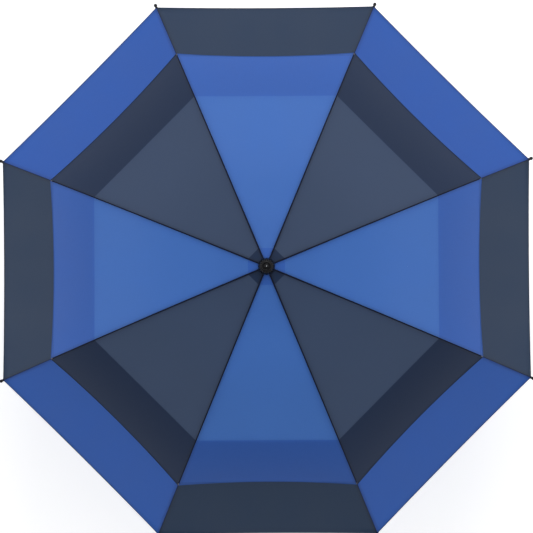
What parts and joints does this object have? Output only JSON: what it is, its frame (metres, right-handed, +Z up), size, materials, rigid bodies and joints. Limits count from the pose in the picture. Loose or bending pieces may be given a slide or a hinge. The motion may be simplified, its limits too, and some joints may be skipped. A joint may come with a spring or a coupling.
{
  "type": "folding umbrella",
  "caption": "Compact folding umbrella, open, with a vented double canopy in alternating royal blue and navy gores, folding ribs, a telescoping shaft and a push-button grip.",
  "frame": {"origin": "centre of the handle's flat base", "axes": "+Z up along the shaft to the ferrule; -Y is the side of the push button; a royal blue upper gore is centred on +Y"},
  "size_m": [0.9818, 0.9818, 0.6352],
  "materials": {
    "steel": "satin plated tube",
    "black_steel": "black-plated channel steel",
    "plastic": "black moulded plastic",
    "glass_rod": "black glass-fibre rod",
    "rubber": "black soft-touch coating",
    "fabric_royal": "royal blue pongee, plain weave",
    "fabric_navy": "navy pongee, plain weave"
  },
  "bodies": {
    "handle": {"handle_base_cap": "plastic", "handle_grip": "rubber", "handle_collar": "plastic", "lower_tube": "steel", "button_spring": "steel"},
    "middle_shaft": {"middle_tube": "steel"},
    "upper_shaft": {"upper_tube": "steel", "top_notch": "plastic", "notch_wire": "steel", "ferrule_cap": "plastic"},
    "runner": {"runner": "plastic"},
    "push_button": {"push_button": "plastic"},
    "top_rib_1": {"top_rib_1": "black_steel", "upper_gore_1": "fabric_royal"},
    "middle_rib_1": {"middle_rib_1": "black_steel"},
    "outer_rib_1": {"outer_rib_1": "glass_rod", "lower_gore_1": "fabric_navy"},
    "stretcher_1": {"stretcher_1": "black_steel"},
    "top_rib_2": {"top_rib_2": "black_steel", "upper_gore_2": "fabric_navy"},
    "middle_rib_2": {"middle_rib_2": "black_steel"},
    "outer_rib_2": {"outer_rib_2": "glass_rod", "lower_gore_2": "fabric_royal"},
    "stretcher_2": {"stretcher_2": "black_steel"},
    "top_rib_3": {"top_rib_3": "black_steel", "upper_gore_3": "fabric_royal"},
    "middle_rib_3": {"middle_rib_3": "black_steel"},
    "outer_rib_3": {"outer_rib_3": "glass_rod", "lower_gore_3": "fabric_navy"},
    "stretcher_3": {"stretcher_3": "black_steel"},
    "top_rib_4": {"top_rib_4": "black_steel", "upper_gore_4": "fabric_navy"},
    "middle_rib_4": {"middle_rib_4": "black_steel"},
    "outer_rib_4": {"outer_rib_4": "glass_rod", "lower_gore_4": "fabric_royal"},
    "stretcher_4": {"stretcher_4": "black_steel"},
    "top_rib_5": {"top_rib_5": "black_steel", "upper_gore_5": "fabric_royal"},
    "middle_rib_5": {"middle_rib_5": "black_steel"},
    "outer_rib_5": {"outer_rib_5": "glass_rod", "lower_gore_5": "fabric_navy"},
    "stretcher_5": {"stretcher_5": "black_steel"},
    "top_rib_6": {"top_rib_6": "black_steel", "upper_gore_6": "fabric_navy"},
    "middle_rib_6": {"middle_rib_6": "black_steel"},
    "outer_rib_6": {"outer_rib_6": "glass_rod", "lower_gore_6": "fabric_royal"},
    "stretcher_6": {"stretcher_6": "black_steel"},
    "top_rib_7": {"top_rib_7": "black_steel", "upper_gore_7": "fabric_royal"},
    "middle_rib_7": {"middle_rib_7": "black_steel"},
    "outer_rib_7": {"outer_rib_7": "glass_rod", "lower_gore_7": "fabric_navy"},
    "stretcher_7": {"stretcher_7": "black_steel"},
    "top_rib_8": {"top_rib_8": "black_steel", "upper_gore_8": "fabric_navy"},
    "middle_rib_8": {"middle_rib_8": "black_steel"},
    "outer_rib_8": {"outer_rib_8": "glass_rod", "lower_gore_8": "fabric_royal"},
    "stretcher_8": {"stretcher_8": "black_steel"}
  },
  "joints": [
    {"name": "lower_telescope", "type": "slide", "parent": "handle", "child": "middle_shaft", "axis": [0, 0, 1], "range_m": [-0.16, 0]},
    {"name": "upper_telescope", "type": "slide", "parent": "middle_shaft", "child": "upper_shaft", "axis": [0, 0, 1], "range_m": [-0.16, 0]},
    {"name": "button_press", "type": "slide", "parent": "handle", "child": "push_button", "axis": [0, 1, 0], "range_m": [0, 0.002], "stiffness_N_per_m": 300, "springref_m": -0.002, "deforming": ["button_spring"]},
    {"name": "canopy_fold", "type": "hinge", "parent": "upper_shaft", "child": "top_rib_1", "pos_m": [0.01247, 0.00517, 0.61], "axis": [0.3827, -0.9239, 0], "range_deg": [-77, 0], "deforming": ["upper_gore_1"]},
    {"name": "middle_rib_1_fold", "type": "hinge", "parent": "top_rib_1", "child": "middle_rib_1", "pos_m": [0.1848, 0.07655, 0.5733], "axis": [0.3827, -0.9239, 0], "range_deg": [-3, 195]},
    {"name": "outer_rib_1_fold", "type": "hinge", "parent": "middle_rib_1", "child": "outer_rib_1", "pos_m": [0.33493, 0.13873, 0.49113], "axis": [0.3827, -0.9239, 0], "range_deg": [-170, 3], "deforming": ["lower_gore_1"]},
    {"name": "stretcher_1_fold", "type": "hinge", "parent": "top_rib_1", "child": "stretcher_1", "pos_m": [0.07528, 0.03118, 0.59328], "axis": [0.3827, -0.9239, 0], "range_deg": [-2, 115.86]},
    {"name": "top_rib_2_fold", "type": "hinge", "parent": "upper_shaft", "child": "top_rib_2", "pos_m": [0.00517, 0.01247, 0.61], "axis": [0.9239, -0.3827, 0], "range_deg": [-78, 1], "deforming": ["upper_gore_2"]},
    {"name": "middle_rib_2_fold", "type": "hinge", "parent": "top_rib_2", "child": "middle_rib_2", "pos_m": [0.07655, 0.1848, 0.5733], "axis": [0.9239, -0.3827, 0], "range_deg": [-3, 195]},
    {"name": "outer_rib_2_fold", "type": "hinge", "parent": "middle_rib_2", "child": "outer_rib_2", "pos_m": [0.13873, 0.33493, 0.49113], "axis": [0.9239, -0.3827, 0], "range_deg": [-170, 3], "deforming": ["lower_gore_2"]},
    {"name": "stretcher_2_fold", "type": "hinge", "parent": "top_rib_2", "child": "stretcher_2", "pos_m": [0.03118, 0.07528, 0.59328], "axis": [0.9239, -0.3827, 0], "range_deg": [-2, 115.86]},
    {"name": "top_rib_3_fold", "type": "hinge", "parent": "upper_shaft", "child": "top_rib_3", "pos_m": [-0.00517, 0.01247, 0.61], "axis": [0.9239, 0.3827, 0], "range_deg": [-78, 1], "deforming": ["upper_gore_3"]},
    {"name": "middle_rib_3_fold", "type": "hinge", "parent": "top_rib_3", "child": "middle_rib_3", "pos_m": [-0.07655, 0.1848, 0.5733], "axis": [0.9239, 0.3827, 0], "range_deg": [-3, 195]},
    {"name": "outer_rib_3_fold", "type": "hinge", "parent": "middle_rib_3", "child": "outer_rib_3", "pos_m": [-0.13873, 0.33493, 0.49113], "axis": [0.9239, 0.3827, 0], "range_deg": [-170, 3], "deforming": ["lower_gore_3"]},
    {"name": "stretcher_3_fold", "type": "hinge", "parent": "top_rib_3", "child": "stretcher_3", "pos_m": [-0.03118, 0.07528, 0.59328], "axis": [0.9239, 0.3827, 0], "range_deg": [-2, 115.86]},
    {"name": "top_rib_4_fold", "type": "hinge", "parent": "upper_shaft", "child": "top_rib_4", "pos_m": [-0.01247, 0.00517, 0.61], "axis": [0.3827, 0.9239, 0], "range_deg": [-78, 1], "deforming": ["upper_gore_4"]},
    {"name": "middle_rib_4_fold", "type": "hinge", "parent": "top_rib_4", "child": "middle_rib_4", "pos_m": [-0.1848, 0.07655, 0.5733], "axis": [0.3827, 0.9239, 0], "range_deg": [-3, 195]},
    {"name": "outer_rib_4_fold", "type": "hinge", "parent": "middle_rib_4", "child": "outer_rib_4", "pos_m": [-0.33493, 0.13873, 0.49113], "axis": [0.3827, 0.9239, 0], "range_deg": [-170, 3], "deforming": ["lower_gore_4"]},
    {"name": "stretcher_4_fold", "type": "hinge", "parent": "top_rib_4", "child": "stretcher_4", "pos_m": [-0.07528, 0.03118, 0.59328], "axis": [0.3827, 0.9239, 0], "range_deg": [-2, 115.86]},
    {"name": "top_rib_5_fold", "type": "hinge", "parent": "upper_shaft", "child": "top_rib_5", "pos_m": [-0.01247, -0.00517, 0.61], "axis": [-0.3827, 0.9239, 0], "range_deg": [-78, 1], "deforming": ["upper_gore_5"]},
    {"name": "middle_rib_5_fold", "type": "hinge", "parent": "top_rib_5", "child": "middle_rib_5", "pos_m": [-0.1848, -0.07655, 0.5733], "axis": [-0.3827, 0.9239, 0], "range_deg": [-3, 195]},
    {"name": "outer_rib_5_fold", "type": "hinge", "parent": "middle_rib_5", "child": "outer_rib_5", "pos_m": [-0.33493, -0.13873, 0.49113], "axis": [-0.3827, 0.9239, 0], "range_deg": [-170, 3], "deforming": ["lower_gore_5"]},
    {"name": "stretcher_5_fold", "type": "hinge", "parent": "top_rib_5", "child": "stretcher_5", "pos_m": [-0.07528, -0.03118, 0.59328], "axis": [-0.3827, 0.9239, 0], "range_deg": [-2, 115.86]},
    {"name": "top_rib_6_fold", "type": "hinge", "parent": "upper_shaft", "child": "top_rib_6", "pos_m": [-0.00517, -0.01247, 0.61], "axis": [-0.9239, 0.3827, 0], "range_deg": [-78, 1], "deforming": ["upper_gore_6"]},
    {"name": "middle_rib_6_fold", "type": "hinge", "parent": "top_rib_6", "child": "middle_rib_6", "pos_m": [-0.07655, -0.1848, 0.5733], "axis": [-0.9239, 0.3827, 0], "range_deg": [-3, 195]},
    {"name": "outer_rib_6_fold", "type": "hinge", "parent": "middle_rib_6", "child": "outer_rib_6", "pos_m": [-0.13873, -0.33493, 0.49113], "axis": [-0.9239, 0.3827, 0], "range_deg": [-170, 3], "deforming": ["lower_gore_6"]},
    {"name": "stretcher_6_fold", "type": "hinge", "parent": "top_rib_6", "child": "stretcher_6", "pos_m": [-0.03118, -0.07528, 0.59328], "axis": [-0.9239, 0.3827, 0], "range_deg": [-2, 115.86]},
    {"name": "top_rib_7_fold", "type": "hinge", "parent": "upper_shaft", "child": "top_rib_7", "pos_m": [0.00517, -0.01247, 0.61], "axis": [-0.9239, -0.3827, 0], "range_deg": [-78, 1], "deforming": ["upper_gore_7"]},
    {"name": "middle_rib_7_fold", "type": "hinge", "parent": "top_rib_7", "child": "middle_rib_7", "pos_m": [0.07655, -0.1848, 0.5733], "axis": [-0.9239, -0.3827, 0], "range_deg": [-3, 195]},
    {"name": "outer_rib_7_fold", "type": "hinge", "parent": "middle_rib_7", "child": "outer_rib_7", "pos_m": [0.13873, -0.33493, 0.49113], "axis": [-0.9239, -0.3827, 0], "range_deg": [-170, 3], "deforming": ["lower_gore_7"]},
    {"name": "stretcher_7_fold", "type": "hinge", "parent": "top_rib_7", "child": "stretcher_7", "pos_m": [0.03118, -0.07528, 0.59328], "axis": [-0.9239, -0.3827, 0], "range_deg": [-2, 115.86]},
    {"name": "top_rib_8_fold", "type": "hinge", "parent": "upper_shaft", "child": "top_rib_8", "pos_m": [0.01247, -0.00517, 0.61], "axis": [-0.3827, -0.9239, 0], "range_deg": [-78, 1], "deforming": ["upper_gore_8"]},
    {"name": "middle_rib_8_fold", "type": "hinge", "parent": "top_rib_8", "child": "middle_rib_8", "pos_m": [0.1848, -0.07655, 0.5733], "axis": [-0.3827, -0.9239, 0], "range_deg": [-3, 195]},
    {"name": "outer_rib_8_fold", "type": "hinge", "parent": "middle_rib_8", "child": "outer_rib_8", "pos_m": [0.33493, -0.13873, 0.49113], "axis": [-0.3827, -0.9239, 0], "range_deg": [-170, 3], "deforming": ["lower_gore_8"]},
    {"name": "stretcher_8_fold", "type": "hinge", "parent": "top_rib_8", "child": "stretcher_8", "pos_m": [0.07528, -0.03118, 0.59328], "axis": [-0.3827, -0.9239, 0], "range_deg": [-2, 115.86]},
    {"name": "runner_slide", "type": "slide", "parent": "upper_shaft", "child": "runner", "axis": [0, 0, 1], "range_m": [-0.07927, 0.003]}
  ],
  "couplings": [
    {"joint": "middle_rib_1_fold", "follows": "canopy_fold", "ratio": -2.4935},
    {"joint": "outer_rib_1_fold", "follows": "canopy_fold", "ratio": 2.1688},
    {"joint": "stretcher_1_fold", "follows": "canopy_fold", "ratio": -1.4787},
    {"joint": "top_rib_2_fold", "follows": "canopy_fold", "ratio": 1},
    {"joint": "middle_rib_2_fold", "follows": "canopy_fold", "ratio": -2.4935},
    {"joint": "outer_rib_2_fold", "follows": "canopy_fold", "ratio": 2.1688},
    {"joint": "stretcher_2_fold", "follows": "canopy_fold", "ratio": -1.4787},
    {"joint": "top_rib_3_fold", "follows": "canopy_fold", "ratio": 1},
    {"joint": "middle_rib_3_fold", "follows": "canopy_fold", "ratio": -2.4935},
    {"joint": "outer_rib_3_fold", "follows": "canopy_fold", "ratio": 2.1688},
    {"joint": "stretcher_3_fold", "follows": "canopy_fold", "ratio": -1.4787},
    {"joint": "top_rib_4_fold", "follows": "canopy_fold", "ratio": 1},
    {"joint": "middle_rib_4_fold", "follows": "canopy_fold", "ratio": -2.4935},
    {"joint": "outer_rib_4_fold", "follows": "canopy_fold", "ratio": 2.1688},
    {"joint": "stretcher_4_fold", "follows": "canopy_fold", "ratio": -1.4787},
    {"joint": "top_rib_5_fold", "follows": "canopy_fold", "ratio": 1},
    {"joint": "middle_rib_5_fold", "follows": "canopy_fold", "ratio": -2.4935},
    {"joint": "outer_rib_5_fold", "follows": "canopy_fold", "ratio": 2.1688},
    {"joint": "stretcher_5_fold", "follows": "canopy_fold", "ratio": -1.4787},
    {"joint": "top_rib_6_fold", "follows": "canopy_fold", "ratio": 1},
    {"joint": "middle_rib_6_fold", "follows": "canopy_fold", "ratio": -2.4935},
    {"joint": "outer_rib_6_fold", "follows": "canopy_fold", "ratio": 2.1688},
    {"joint": "stretcher_6_fold", "follows": "canopy_fold", "ratio": -1.4787},
    {"joint": "top_rib_7_fold", "follows": "canopy_fold", "ratio": 1},
    {"joint": "middle_rib_7_fold", "follows": "canopy_fold", "ratio": -2.4935},
    {"joint": "outer_rib_7_fold", "follows": "canopy_fold", "ratio": 2.1688},
    {"joint": "stretcher_7_fold", "follows": "canopy_fold", "ratio": -1.4787},
    {"joint": "top_rib_8_fold", "follows": "canopy_fold", "ratio": 1},
    {"joint": "middle_rib_8_fold", "follows": "canopy_fold", "ratio": -2.4935},
    {"joint": "outer_rib_8_fold", "follows": "canopy_fold", "ratio": 2.1688},
    {"joint": "stretcher_8_fold", "follows": "canopy_fold", "ratio": -1.4787},
    {"joint": "runner_slide", "follows": "canopy_fold", "m_per_rad": 0.056749}
  ]
}
